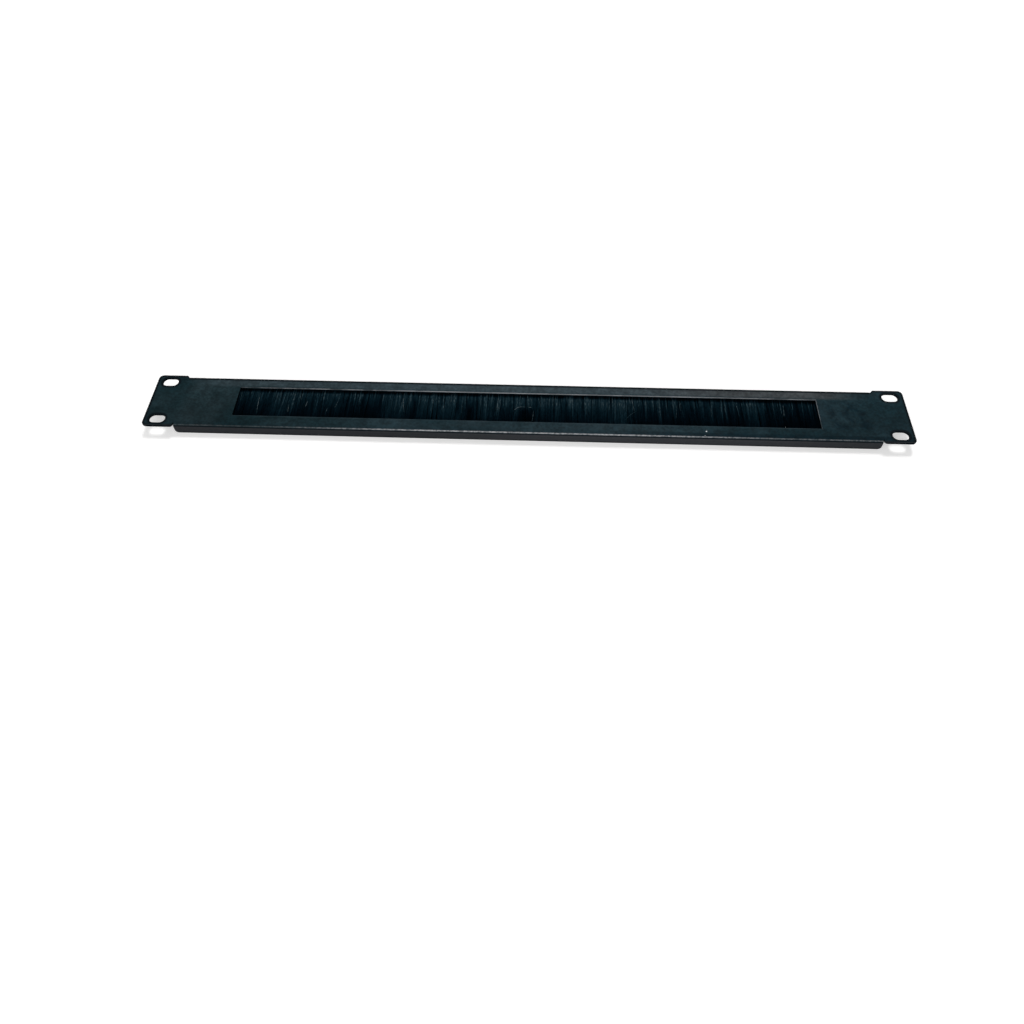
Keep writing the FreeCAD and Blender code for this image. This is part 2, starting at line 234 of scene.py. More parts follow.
# Bristles' colours by tone, from 0 to 1: near black in painted shade, lighter with painted highlights;
# and flecks
TONE_ATTRIBUTE = "tone"
BRISTLE_TONES = [
    (0.0, (0.0002, 0.001, 0.002, 1)),
    (0.1, (0.0011, 0.0049, 0.0084, 1)),
    (0.2, (0.0023, 0.0101, 0.016, 1)),
    (0.36, (0.0053, 0.0177, 0.0262, 1)),
    (0.5, (0.0095, 0.0245, 0.0345, 1)),
    (0.6, (0.0145, 0.037, 0.05, 1)),
    (0.75, (0.036, 0.062, 0.074, 1)),
    (1.0, (0.13, 0.165, 0.18, 1)),
]
FLECKS = {"size": 0.9 * MM, "detail": 3, "stretch": (0.35, 3, 1)}
TONE_BY_FLECKS = (0.3, 0.7, 0.7, 1.3)
ROUGHNESS_BY_FLECKS = (0.3, 0.7, 0.5, 0.65)

# Filaments of the brush, folded over its core wire in layers that count from the wire outwards.
# Steps go along a free leg, from 0 at the channel's mouth to 1 at the tip.
FILAMENT_RADIUS = 0.13 * MM
FILAMENT_TIP_SHARE = 0.8
FILAMENT_PITCH = 0.22 * MM
FILAMENT_JITTER = 0.05
TUBE_SIDES = 3
FRINGE_PIECES = 4
FRINGE_SEED = 23
FOLD_LAYERS = 4
FOLD_ANGLES = np.radians([0, 45, 90, 135, 180])
FOLD_SIDE_STEP = 0.21 * MM
FOLD_TOP_STEP = 0.08 * MM
FRONT_STEPS = np.array([0.0, 0.095, 0.15, 0.3, 0.5, 0.75, 1.0])
REAR_STEPS = np.array([0.0, 0.4, 1.0])

# A step that spreads numbers evenly between 0 and 1
EVEN_STEP = 0.382

# Free legs: the room below their tips, the curve of their lean, their fluff, where layers leave the
# mouth above or below the wire's middle, and how far tips rise and scatter
TIP_ROOM = (0.1 * MM, 2.4 * MM)
LEAN_CURVE = 1.3
FLUFF = 0.08 * MM
LEG_START = 0.12 * MM
LEG_STEP = 0.24 * MM
FRONT_RISE = 0.04 * MM
FRONT_SCATTER = 0.15 * MM
FRONT_SCATTER_STEP = 0.25 * MM
REAR_SCATTER = 0.02 * MM
TIP_SCATTER = 0.1 * MM

# Legs beside the window spread from this layer on, and reach their full height at this step
FAN_LAYER = 2
FAN_END = 0.15

# Clumps, every other one a gap: limits of their width, pull and lift, the usual size of their lean,
# and how strongly the layers follow them. The gaps lie wider, deeper and darker, in painted shade.
CLUMP_WIDTHS = (0.3 * MM, 0.9 * MM)
CLUMP_LEAN = 1.4 * MM
CLUMP_PULL = (0.1, 0.7)
CLUMP_LIFT = (-0.55 * MM, 0.3 * MM)
CLUMP_HOLD = 0.4
CLUMP_HOLD_STEP = 0.2
GAP_WIDER = 1.7
GAP_DARKER = 0.38
GAP_DEEPER = 0.15 * MM

# Tone of the bristles at each step, its limit, the way over which it fades, and how much single
# bristles differ, more from layer to layer. The tone is painted light: painted shadow at the root,
# painted highlights below it, fading to painted shade at the tips.
TONE_ALONG = np.array([0.0, 0.34, 0.56, 0.44, 0.27, 0.16, 0.1])
TONE_LIMIT = 0.65
TONE_FADE = 0.25
OWN_SPREAD = 0.3
OWN_SPREAD_STEP = 0.1

# Tone of the clumps: how light their streaks are, as mean and spread of its logarithm, the tone of
# the rest of a leg, how far a streak reaches, and the tone of the step next to the root. Streaks are
# painted highlights, and the step next to the root is dimmed in painted shadow.
STREAK_LIGHT = (0.38, 0.6)
STREAK_REST = (0.65, 1.0)
STREAK_SHORTEST = 0.22
STREAK_LONGER = 0.7
STREAK_POWER = 1.6
ROOT_LIGHT = (0.2, 1)

# Wider patches of the brush that look lighter or darker towards the tips. How light they are is
# given as mean and spread of its logarithm, and kept between limits.
PATCH_WIDTHS = (4 * MM, 13 * MM)
PATCH_LIGHT = (-0.2, 0.75)
PATCH_LIMITS = (0.45, 1.9)
PATCH_GROWTH = 1.4
PATCH_FEATHER = 7 * MM

# Light along the brush: places on X, the level of whole bristles there, and that of their tips
GLOW_PLACES = np.array([-195, -100, -40, 50, 90, 195]) * MM
GLOW_LEVELS = np.array([0.76, 0.84, 1.1, 1.1, 0.75, 0.54])
TIP_LEVELS = np.array([0.85, 0.74, 1.36, 1.4, 0.97, 0.85])

# A place where the bristles have parted, with painted shade in its hollow
PARTING_X = 0.6 * MM
PARTING_HALF_WIDTH = 7.5 * MM
PARTING_PUSH = 2.4 * MM
PARTING_LAYER = 2
PARTING_DARK = 0.9
PARTING_START = (0.2, 0.42)

# Places of painted shade on the bristles, where the fill looks thin: X, half the width, depth,
# and the step where it starts
SHADE_PLACES = [
    (-168 * MM, 2.6 * MM, 0.75, 0.4),
    (-71 * MM, 2.1 * MM, 0.88, 0.08),
    (-35 * MM, 3.2 * MM, 0.86, 0.2),
    (27 * MM, 2.4 * MM, 0.6, 0.0),
]
BORDER_STEEPNESS = 1.5

# Single bristles that stand out from the fringe: how light each is, a painted highlight that dims
# towards its ends, and its way along X and Y, in millimetres
STRAYS = [
    (1.0, [(-172.3, 9.5), (-171.9, 0.0), (-170.9, -9.0)]),
    (0.95, [(-151.9, 0.5), (-151.2, -6.5)]),
    (0.9, [(-140.2, 4.0), (-140.9, -2.0)]),
    (0.8, [(-126.4, -2.0), (-127.1, -8.0)]),
    (1.0, [(-120.2, 5.0), (-121.8, -2.0)]),
    (0.9, [(-78.9, 9.0), (-76.8, -4.0)]),
    (1.0, [(-17.2, 8.5), (-17.6, -1.5)]),
    (1.0, [(-6.9, -1.4), (-6.1, 0.6), (-4.4, 2.1), (-2.0, 2.9), (0.5, 2.7)]),
    (1.0, [(2.5, 2.5), (4.5, 2.3)]),
    (1.0, [(5.7, -0.3), (5.7, -3.7), (5.0, -9.9)]),
    (1.0, [(68.7, 12.0), (69.1, 7.3), (69.9, 1.5)]),
    (0.75, [(71.8, 1.6), (67.7, -1.3), (63.4, -7.0)]),
    (0.85, [(97.3, 7.5), (95.8, -4.5)]),
    (0.75, [(134.3, 11.0), (135.3, 6.0), (136.0, -1.5)]),
    (0.95, [(164.8, 10.0), (164.0, -1.0)]),
]
STRAY_POINTS = 9
STRAY_SMOOTHINGS = 2
STRAY_RADIUS = 0.12 * MM
STRAY_END_TONE = 0.6
STRAY_DIP = 0.12 * MM

# Sockets of a mix node that mixes colours
MIX_SHARE = 0
MIX_FIRST = 6
MIX_SECOND = 7
MIX_RESULT = 2

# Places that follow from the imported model
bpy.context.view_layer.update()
_, panel_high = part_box("front_panel")
bristle_low, bristle_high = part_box("bristles")
channel_low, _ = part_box("brush_channel")
wire_low, wire_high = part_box("brush_core_wire")
wire_centre = (wire_low + wire_high) / 2
wire_radius = (wire_high.z - wire_low.z) / 2
mouth_y = channel_low.y
slot_dims = frame["record"]["mounts"][0]["dims"]
slot_x = slot_dims["spacing_x_mm"] / 2 * MM
slot_y = slot_dims["spacing_y_mm"] / 2 * MM
slot_radius = slot_dims["hole_r_mm"] * MM
slot_straight = slot_dims["slot_length_mm"] / 2 * MM - slot_radius
opening_low, opening_high = frame["record"]["physics"]["openings"][0]["box_m"]
window_low = [opening_low[axis] - OPENING_ROOM[axis] for axis in range(2)]
window_high = [opening_high[axis] + OPENING_ROOM[axis] for axis in range(2)]


class Shader:
    """A node material under construction, with short names for the nodes used here."""

    def __init__(self, name):
        self.material = bpy.data.materials.new(name)
        self.material.use_nodes = True
        self.tree = self.material.node_tree
        self.surface = self.tree.nodes["Principled BSDF"]
        self.place = self.node("ShaderNodeTexCoord").outputs["Object"]

    def node(self, kind, **settings):
        """A new node with its settings."""
        node = self.tree.nodes.new(kind)
        for key, value in settings.items():
            setattr(node, key, value)
        return node

    def feed(self, socket, value):
        """Link a socket to another one, or set it to a number or colour."""
        if isinstance(value, bpy.types.NodeSocket):
            self.tree.links.new(value, socket)
        else:
            socket.default_value = value

    def split(self, vector):
        """The three parts of a vector."""
        node = self.node("ShaderNodeSeparateXYZ")
        self.feed(node.inputs[0], vector)
        return node.outputs[0], node.outputs[1], node.outputs[2]

    def math(self, operation, first, second=0.0):
        """One step of arithmetic, by Blender's name for it."""
        node = self.node("ShaderNodeMath", operation=operation)
        self.feed(node.inputs[0], first)
        self.feed(node.inputs[1], second)
        return node.outputs[0]

    def product(self, *values):
        """Product of two or more values."""
        result = values[0]
        for value in values[1:]:
            result = self.math("MULTIPLY", result, value)
        return result

    def span(self, value, start, end, low=0.0, high=1.0):
        """Smooth step from low at start to high at end."""
        node = self.node("ShaderNodeMapRange", interpolation_type="SMOOTHSTEP")
        self.feed(node.inputs["Value"], value)
        self.feed(node.inputs["From Min"], min(start, end))
        self.feed(node.inputs["From Max"], max(start, end))
        self.feed(node.inputs["To Min"], low if start < end else high)
        self.feed(node.inputs["To Max"], high if start < end else low)
        return node.outputs["Result"]

    def noise(self, size, detail, stretch=None, distortion=0.0):
        """Noise with features of about the given size in metres, longer along a stretched axis."""
        node = self.node("ShaderNodeTexNoise")
        place = self.place
        if stretch:
            mapping = self.node("ShaderNodeMapping")
            self.feed(mapping.inputs["Vector"], place)
            mapping.inputs["Scale"].default_value = [1 / share for share in stretch]
            place = mapping.outputs["Vector"]
        self.feed(node.inputs["Vector"], place)
        self.feed(node.inputs["Scale"], 1 / size)
        self.feed(node.inputs["Detail"], detail)
        self.feed(node.inputs["Distortion"], distortion)
        return node.outputs["Fac"]

    def cells(self, size):
        """Cells of about the given size, as the distance from their middles."""
        node = self.node("ShaderNodeTexVoronoi", feature="F1")
        self.feed(node.inputs["Vector"], self.place)
        self.feed(node.inputs["Scale"], 1 / size)
        return node.outputs["Distance"]

    def mix(self, share, first, second):
        """The first colour where the share is 0, and the second where it is 1."""
        node = self.node("ShaderNodeMix", data_type="RGBA")
        self.feed(node.inputs[MIX_SHARE], share)
        self.feed(node.inputs[MIX_FIRST], first)
        self.feed(node.inputs[MIX_SECOND], second)
        return node.outputs[MIX_RESULT]

    def scaled(self, colour, factor):
        """A colour times a number."""
        node = self.node("ShaderNodeVectorMath", operation="SCALE")
        self.feed(node.inputs[0], colour)
        self.feed(node.inputs["Scale"], factor)
        return node.outputs["Vector"]

    def tinted(self, colour, tint):
        """A colour times another one."""
        node = self.node("ShaderNodeVectorMath", operation="MULTIPLY")
        self.feed(node.inputs[0], colour)
        self.feed(node.inputs[1], tint)
        return node.outputs["Vector"]

    def ramp(self, value, stops):
        """Colour along a row of stops, each with its place from 0 to 1."""
        node = self.node("ShaderNodeValToRGB")
        self.feed(node.inputs["Fac"], value)
        elements = node.color_ramp.elements
        elements[1].position, elements[1].color = stops[-1]
        elements[0].position, elements[0].color = stops[0]
        for position, colour in stops[1:-1]:
            elements.new(position).color = colour
        return node.outputs["Color"]

    def bump(self, height, depth, strength):
        """Surface direction for a fine relief."""
        node = self.node("ShaderNodeBump")
        self.feed(node.inputs["Height"], height)
        self.feed(node.inputs["Distance"], depth)
        self.feed(node.inputs["Strength"], strength)
        return node.outputs["Normal"]

    def finish(self, **values):
        """Feed the surface's own sockets by name, with spaces for underscores."""
        for key, value in values.items():
            self.feed(self.surface.inputs[key.replace("_", " ")], value)
        return self.material


class PanelShader(Shader):
    """A material for the panel, with its places and directions at hand."""

    def __init__(self, name):
        super().__init__(name)
        self.x, self.y, self.z = self.split(self.place)
        self.side = self.math("ABSOLUTE", self.x)
        self.height = self.math("ABSOLUTE", self.y)
        normal = self.node("ShaderNodeNewGeometry").outputs["Normal"]
        normal_x, normal_y, self.normal_z = self.split(normal)
        self.upright = self.span(self.math("ABSOLUTE", self.normal_z), *UPRIGHT_BY_NORMAL_Z)
        self.near_side = self.span(normal_y, *NEAR_SIDE_BY_NORMAL_Y)
        self.left_edge = self.span(normal_x, *LEFT_EDGE_BY_NORMAL_X)
        self.window = self.product(
            self.within(self.x, window_low[0], window_high[0], WINDOW_BORDER),
            self.within(self.y, window_low[1], window_high[1], WINDOW_BORDER),
        )

    def within(self, value, low, high, soft):
        """1 between two limits, with soft ends outside them."""
        return self.product(self.span(value, low - soft, low), self.span(value, high + soft, high))

    def past(self, value, limit):
        """How far a value goes past a limit, or 0 before it."""
        return self.math("MAXIMUM", self.math("SUBTRACT", value, limit), 0.0)

    def length(self, first, second):
        """Length of a flat vector from its two parts."""
        pair = self.node("ShaderNodeCombineXYZ")
        self.feed(pair.inputs[0], first)
        self.feed(pair.inputs[1], second)
        node = self.node("ShaderNodeVectorMath", operation="LENGTH")
        self.feed(node.inputs[0], pair.outputs[0])
        return node.outputs["Value"]

    def ear_rim(self, width):
        """1 at the ears' outline, falling to 0 at the given width inside it."""
        across = self.past(self.side, panel_high.x - EAR_CORNER)
        along = self.past(self.height, panel_high.y - EAR_CORNER)
        reach = self.length(across, along)
        rim = self.span(reach, EAR_CORNER - width, EAR_CORNER - RIM_CORE * width)
        return self.product(rim, self.span(self.side, EAR_START_X, EAR_START_X + width))

    def slot_rim(self, width):
        """1 at the four slots, falling to 0 at the given width outside them."""
        from_middle = self.math("ABSOLUTE", self.math("SUBTRACT", self.side, slot_x))
        across = self.past(from_middle, slot_straight)
        along = self.math("SUBTRACT", self.height, slot_y)
        reach = self.length(across, along)
        return self.span(reach, slot_radius + width, slot_radius + RIM_CORE * width)

    def speck(self, centre, radius):
        """One round speck on the panel's face."""
        node = self.node("ShaderNodeVectorMath", operation="DISTANCE")
        self.feed(node.inputs[0], self.place)
        node.inputs[1].default_value = (centre[0] * MM, centre[1] * MM, panel_high.z)
        return self.span(node.outputs["Value"], radius * MM, SPECK_CORE * radius * MM)


def coat_clouds(shader, smears):
    """Cloudy black, paler along the middle and at the left end, and warmer towards the left."""
    clouds = shader.noise(**CLOUDS)
    colour = shader.mix(shader.span(clouds, *PALE_BY_CLOUDS), COAT_DEEP, COAT_PALE)
    colour = shader.mix(shader.span(smears, *PALE_BY_SMEARS), colour, COAT_PALE)
    middle = shader.within(shader.x, *PALE_MIDDLE_X)
    dust_and_sheen = shader.product(middle, shader.span(smears, *MIDDLE_DUST_BY_SMEARS))
    colour = shader.mix(dust_and_sheen, colour, COAT_DUST_AND_SHEEN)
    left_end = shader.within(shader.x, *LEFT_END_X)
    dust_and_sheen = shader.product(left_end, shader.span(clouds, *LEFT_DUST_BY_CLOUDS))
    colour = shader.mix(dust_and_sheen, colour, COAT_DUST_AND_SHEEN)
    warmer = shader.tinted(colour, LEFT_TINT)
    return shader.mix(shader.span(shader.x, *LEFT_TINT_BY_X), colour, warmer)


def coat_bars(shader, colour, smears):
    """Painted sheen on the far bar, and painted shade on the margin of the near bar along its bend."""
    far_bar = shader.product(
        shader.span(shader.y, window_high[1] + FAR_BAR_START, window_high[1] + FAR_BAR_FULL),
        shader.span(shader.side, EAR_START_X, window_high[0] - FAR_BAR_END),
        shader.span(shader.x, *FAR_SHEEN_BY_X),
        shader.span(smears, *FAR_SHEEN_BY_SMEARS),
    )
    dust_and_sheen = shader.mix(shader.span(shader.x, *FAR_GREY_BY_X), COAT_DUST_AND_SHEEN, COAT_GREY_SHEEN)
    colour = shader.mix(far_bar, colour, dust_and_sheen)
    near_margin = shader.within(shader.y, *NEAR_MARGIN_Y)
    shaded = shader.product(near_margin, shader.span(shader.x, *NEAR_SHADE_BY_X))
    return shader.mix(shaded, colour, COAT_SMUDGE_AND_SHADE)


def coat_marks(shader, colour):
    """Smudges near the right ear, painted sheen that makes both ends lighter towards the top edge,
    blotches and speckle.
    """
    smudged = shader.product(shader.within(shader.x, *SMUDGE_X), shader.within(shader.y, *SMUDGE_Y))
    marks = shader.span(shader.noise(**MARKS), *SMUDGE_BY_MARKS)
    colour = shader.mix(shader.product(smudged, marks), colour, COAT_SMUDGE_AND_SHADE)
    ends = shader.span(shader.side, window_high[0], window_high[0] + END_BORDER)
    change = shader.product(ends, shader.span(shader.y, *END_CHANGE_BY_Y))
    colour = shader.scaled(colour, shader.math("ADD", 1.0, change))
    blotches = shader.span(shader.noise(**BLOTCHES), *TONE_BY_BLOTCHES)
    speckle = shader.span(shader.noise(**SPECKLE), *TONE_BY_SPECKLE)
    return shader.scaled(colour, shader.product(blotches, speckle))


def coat_rims(shader, colour):
    """Shade on the rims of ears and slots, on the outer cut edges and on the window's left edge."""
    rims = shader.math("MAXIMUM", shader.ear_rim(RIM_WIDTH), shader.slot_rim(RIM_WIDTH))
    colour = shader.mix(shader.product(rims, RIM_SHADE), colour, COAT_SHADE)
    outside = shader.math("SUBTRACT", 1.0, shader.window)
    outer_edges = shader.product(shader.upright, outside, OUTER_EDGE_SHADE)
    colour = shader.mix(outer_edges, colour, COAT_SHADE)
    left_edge = shader.product(shader.upright, shader.window, shader.left_edge)
    return shader.mix(left_edge, colour, COAT_SHADE)


def coat_cuts(shader, colour, smears):
    """Painted highlight on the window's other cut edges, and along the near bar's rim beside the
    window.
    """
    bright = shader.math(
        "MAXIMUM",
        shader.within(shader.x, *BRIGHT_CUT_X),
        shader.within(shader.x, *BRIGHT_CUT_END_X),
    )
    bright = shader.product(bright, shader.span(smears, *CUT_HIGHLIGHT_BY_SMEARS))
    highlight_patches = shader.span(shader.noise(**CUT_HIGHLIGHT_PATCHES), *CUT_HIGHLIGHT_BY_PATCHES)
    patchy = shader.math("MAXIMUM", highlight_patches, bright)
    patchy = shader.product(patchy, shader.span(shader.x, *CUT_HIGHLIGHT_BY_X))
    other_edges = shader.math("SUBTRACT", 1.0, shader.left_edge)
    upper = shader.span(shader.z, panel_high.z - CUT_HIGHLIGHT_START_DEPTH, panel_high.z - CUT_HIGHLIGHT_FULL_DEPTH)
    cut_highlight = shader.product(shader.upright, shader.window, patchy, other_edges, upper)
    colour = shader.mix(cut_highlight, colour, COAT_CUT_HIGHLIGHT)
    # Painted highlight along the near bar's rim at the window
    below_window = shader.span(shader.y, window_low[1], window_low[1] - NEAR_RIM_BORDER)
    near_rim = shader.product(shader.window, below_window)
    dust_and_sheen = shader.product(near_rim, shader.span(smears, *RIM_HIGHLIGHT_BY_SMEARS))
    return shader.mix(dust_and_sheen, colour, COAT_DUST_AND_SHEEN)


def coat_flanges(shader, colour, grain):
    """Flanges in a patchy grey painted sheen, the near one in painted shade under its bend and along
    its foot.
    """
    level = shader.product(
        shader.span(shader.x, *FLANGE_LEFT_BY_X),
        shader.span(shader.x, *FLANGE_RIGHT_BY_X),
    )
    flange = shader.within(shader.height, *FLANGE_Y)
    dust_and_sheen = shader.product(flange, shader.span(grain, *FLANGE_SHEEN_BY_GRAIN))
    colour = shader.mix(dust_and_sheen, colour, shader.scaled(COAT_FLANGE_SHEEN, level))
    under_bend = shader.within(shader.normal_z, *UNDER_BEND_NORMAL_Z)
    foot = shader.span(shader.z, *FLANGE_FOOT_BY_Z)
    borders = shader.math("MAXIMUM", under_bend, foot)
    shaded = shader.product(shader.near_side, borders, FLANGE_BORDER_SHADE)
    return shader.mix(shaded, colour, COAT_SHADE)


def coat_bends(shader, colour, grain):
    """Painted shade on the round of the far bend, and a painted highlight along the near bend."""
    far_round = shader.product(
        shader.span(shader.y, *FAR_ROUND_BY_Y),
        shader.span(shader.normal_z, *FAR_ROUND_BY_NORMAL_Z),
        shader.span(shader.side, *FAR_ROUND_BY_SIDE),
        FAR_ROUND_SHADE,
    )
    colour = shader.mix(far_round, colour, COAT_SHADE)
    bend_highlight = shader.product(
        shader.near_side,
        shader.within(shader.normal_z, *BEND_HIGHLIGHT_NORMAL_Z),
        shader.span(shader.x, *BEND_HIGHLIGHT_LEFT_BY_X),
        shader.span(shader.x, *BEND_HIGHLIGHT_RIGHT_BY_X),
        shader.span(shader.noise(**BEND_HIGHLIGHT_DOTS), *BEND_HIGHLIGHT_BY_DOTS),
        shader.span(grain, *BEND_HIGHLIGHT_BY_GRAIN),
    )
    return shader.mix(bend_highlight, colour, COAT_BEND_HIGHLIGHT)


def powder_coat():
    """Black satin powder coat with a fine grain and dust, and with painted sheen, shade and highlights.
    """
    shader = PanelShader("powder_coat_black")
    grain = shader.noise(**GRAIN)
    peel = shader.noise(**PEEL)
    smears = shader.noise(**SMEARS)
    colour = coat_clouds(shader, smears)
    colour = coat_bars(shader, colour, smears)
    colour = coat_marks(shader, colour)
    colour = coat_rims(shader, colour)
    colour = coat_cuts(shader, colour, smears)
    colour = coat_flanges(shader, colour, grain)
    colour = coat_bends(shader, colour, grain)
    for centre, radius in DUST_SPECKS:
        colour = shader.mix(shader.speck(centre, radius), colour, DUST_COLOUR)
    height = shader.math(
        "ADD",
        shader.product(grain, GRAIN_HEIGHT),
        shader.product(peel, PEEL_HEIGHT),
    )
    return shader.finish(
        Base_Color=colour,
        Roughness=shader.span(peel, *ROUGHNESS_BY_PEEL),
        Specular_IOR_Level=COAT_SPECULAR,
        Normal=shader.bump(height, *COAT_BUMP),
    )


def galvanised():
    """Galvanised strip: dull grey zinc with soft crystal patches and rolling lines."""
    shader = Shader("galvanised_strip")
    crystals = shader.cells(STRIP_CRYSTAL_SIZE)
    lines = shader.noise(**STRIP_LINES)
    clouds = shader.noise(**STRIP_CLOUDS)
    tone = shader.math(
        "ADD",
        shader.product(crystals, STRIP_CRYSTAL_SHARE),
        shader.product(clouds, STRIP_CLOUD_SHARE),
    )
    return shader.finish(
        Base_Color=shader.mix(shader.span(tone, *STRIP_PALE_BY_TONE), STRIP_DARK, STRIP_PALE),
        Metallic=1.0,
        Roughness=shader.span(clouds, *STRIP_ROUGHNESS_BY_CLOUDS),
        Normal=shader.bump(lines, *STRIP_BUMP),
    )


def zinc_sheet():
    """Zinc-plated sheet: brighter than the strip, with fine lines along its length and pale bloom."""
    shader = Shader("zinc_sheet")
    lines = shader.noise(**ZINC_LINES)
    bloom = shader.noise(**ZINC_BLOOM)
    return shader.finish(
        Base_Color=shader.mix(shader.span(bloom, *ZINC_PALE_BY_BLOOM), ZINC_DARK, ZINC_PALE),
        Metallic=1.0,
        Roughness=shader.span(lines, *ZINC_ROUGHNESS_BY_LINES),
        Normal=shader.bump(lines, *ZINC_BUMP),
    )


def zinc_hardware():
    """Bright zinc on small fasteners, a little cloudy and with turned rings."""
    shader = Shader("zinc_hardware")
    rings = shader.noise(**FASTENER_RINGS)
    clouds = shader.noise(**FASTENER_CLOUDS)
    pale = shader.span(clouds, *FASTENER_PALE_BY_CLOUDS)
    return shader.finish(
        Base_Color=shader.mix(pale, FASTENER_DARK, FASTENER_PALE),
        Metallic=1.0,
        Roughness=shader.span(clouds, *FASTENER_ROUGHNESS_BY_CLOUDS),
        Normal=shader.bump(rings, *FASTENER_BUMP),
    )


def bristle_nylon():
    """Black nylon filaments coloured by tone: painted shade where it is low, painted highlights where
    high.
    """
    shader = Shader("bristle_nylon")
    tone = shader.node("ShaderNodeAttribute", attribute_name=TONE_ATTRIBUTE).outputs["Fac"]
    flecks = shader.noise(**FLECKS)
    share = shader.product(tone, shader.span(flecks, *TONE_BY_FLECKS))
    return shader.finish(
        Base_Color=shader.ramp(share, BRISTLE_TONES),
        Roughness=shader.span(flecks, *ROUGHNESS_BY_FLECKS),
        Specular_IOR_Level=0.0,
    )


def tube_corners(paths, radii):
    """Corners of the tubes round their paths, over strands, points, corners and axes."""
    tangents = np.gradient(paths, axis=1)
    tangents /= np.linalg.norm(tangents, axis=2, keepdims=True)
    across = np.array([1.0, 0.0, 0.0]) - tangents * tangents[:, :, :1]
    across /= np.linalg.norm(across, axis=2, keepdims=True)
    upward = np.cross(tangents, across)
    angles = math.pi / 2 + np.arange(TUBE_SIDES) * 2 * math.pi / TUBE_SIDES
    cosines = np.cos(angles)[:, None]
    sines = np.sin(angles)[:, None]
    rings = across[:, :, None] * cosines + upward[:, :, None] * sines
    return paths[:, :, None] + rings * radii[:, :, None, None]


def tube_faces(strands, points):
    """Corner numbers of all faces in one row, sides first and then end caps, and the faces' sizes."""
    numbers = np.arange(strands * points * TUBE_SIDES).reshape(strands, points, TUBE_SIDES)
    following = np.roll(numbers, -1, axis=2)
    sides = [numbers[:, :-1], following[:, :-1], following[:, 1:], numbers[:, 1:]]
    quads = np.stack(sides, axis=-1).reshape(-1, len(sides))
    caps = np.concatenate([numbers[:, 0, ::-1], numbers[:, -1]])
    row = np.concatenate([quads.ravel(), caps.ravel()])
    sizes = np.repeat([len(sides), TUBE_SIDES], [len(quads), len(caps)])
    return row, sizes


def tube_mesh(name, paths, radii, tones):
    """One mesh of closed tubes. The arrays run over strands, points and, for paths, axes."""
    corners = tube_corners(paths, radii)
    row, sizes = tube_faces(*radii.shape)
    starts = np.cumsum(sizes) - sizes
    mesh = bpy.data.meshes.new(name)
    mesh.vertices.add(radii.size * TUBE_SIDES)
    mesh.vertices.foreach_set("co", corners.astype(np.float32).ravel())
    mesh.loops.add(len(row))
    mesh.loops.foreach_set("vertex_index", row.astype(np.int32))
    mesh.polygons.add(len(sizes))
    mesh.polygons.foreach_set("loop_start", starts.astype(np.int32))
    mesh.polygons.foreach_set("use_smooth", np.ones(len(sizes), bool))
    attribute = mesh.attributes.new(TONE_ATTRIBUTE, "FLOAT", "POINT")
    attribute.data.foreach_set("value", np.repeat(tones.ravel(), TUBE_SIDES).astype(np.float32))
    mesh.update(calc_edges=True)
    return mesh


def add_piece(name, mesh, material, replaced):
    """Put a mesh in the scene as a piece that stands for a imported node."""
    piece = bpy.data.objects.new(name, mesh)
    bpy.context.scene.collection.objects.link(piece)
    mesh.materials.append(material)
    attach(piece, "root")
    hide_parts(replaced)


def even_spread(count):
    """A number from 0 to 1 for each filament in a row, spread evenly in every part of the row."""
    return EVEN_STEP * np.arange(count) % 1


def ease(way, length):
    """0 at the start of a way, 1 at its length and beyond."""
    return np.clip(way / length, 0, 1)


def closeness(root_x, place, half_width):
    """1 round a place along the brush, falling to 0 at half its width on both sides."""
    return np.clip(BORDER_STEEPNESS * (1 - np.abs(root_x - place) / half_width), 0, 1)


